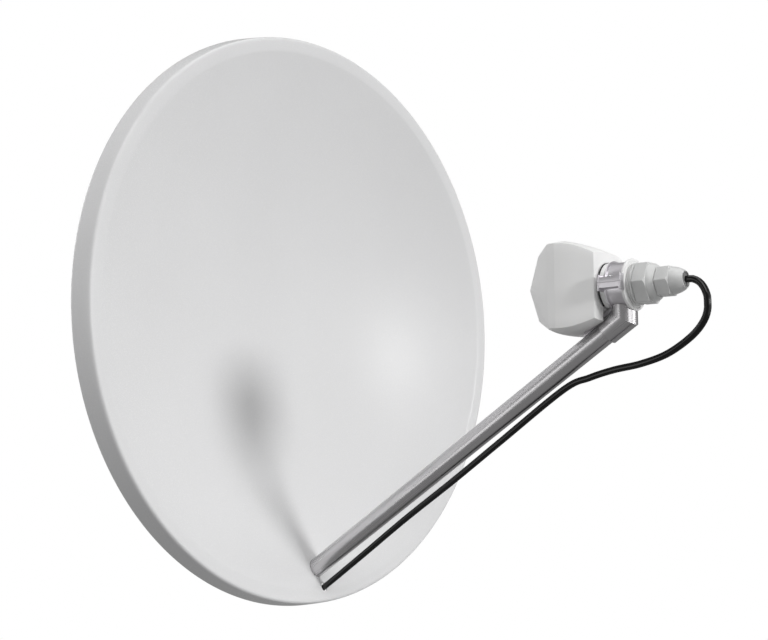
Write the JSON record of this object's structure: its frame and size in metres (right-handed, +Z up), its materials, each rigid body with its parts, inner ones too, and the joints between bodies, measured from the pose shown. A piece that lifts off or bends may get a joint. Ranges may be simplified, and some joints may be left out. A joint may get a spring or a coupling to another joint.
{
  "type": "wireless dish antenna",
  "caption": "Round pressed dish antenna with a bent feed arm, a clamped feed radio with cable gland and lead, and a mast bracket behind.",
  "frame": {"origin": "centre of the mast plate's flat rear face, which the mast is clamped against", "axes": "+Z up along the mast, +Y from the dish towards the mast, -Y the way the dish looks, +X to the right seen from the front's rear side"},
  "size_m": [0.7088, 0.7676, 0.7088],
  "materials": {
    "light_grey_paint": "satin light grey powder coat",
    "polished_arm_metal": "smooth drawn tube, half bright",
    "clamp_metal": "half bright cast and machined metal",
    "white_housing_plastic": "fine grained off-white moulding",
    "light_grey_gland_plastic": "smooth light grey moulding",
    "seal_rubber": "matt black",
    "black_cable_jacket": "glossy black",
    "black_plastic": "matt black moulding",
    "galvanised_bracket_steel": "dull galvanised",
    "zinc_plated_steel": "bright zinc plate"
  },
  "bodies": {
    "root": {"reflector": "light_grey_paint", "arm_tube": "polished_arm_metal", "elbow": "polished_arm_metal", "clamp_upper": "clamp_metal", "clamp_lower": "clamp_metal", "clamp_screw_left": "zinc_plated_steel", "clamp_screw_right": "zinc_plated_steel", "head_cover": "white_housing_plastic", "head_body": "white_housing_plastic", "rear_flange": "white_housing_plastic", "gland_collar": "light_grey_gland_plastic", "gland_body": "light_grey_gland_plastic", "gland_nut": "light_grey_gland_plastic", "gland_seal": "seal_rubber", "cable": "black_cable_jacket", "cable_coupler": "black_plastic", "hub_pan": "galvanised_bracket_steel", "spine": "galvanised_bracket_steel", "mast_yoke": "galvanised_bracket_steel", "mast_jaw_lower": "galvanised_bracket_steel", "mast_jaw_upper": "galvanised_bracket_steel", "pivot_bolt": "zinc_plated_steel", "lock_bolt": "zinc_plated_steel", "arm_root_bolt": "zinc_plated_steel", "hub_bolt_upper": "zinc_plated_steel", "hub_bolt_lower": "zinc_plated_steel", "mast_bolt_left_low": "zinc_plated_steel", "mast_bolt_left_high": "zinc_plated_steel", "mast_bolt_right_low": "zinc_plated_steel", "mast_bolt_right_high": "zinc_plated_steel"}
  },
  "joints": []
}
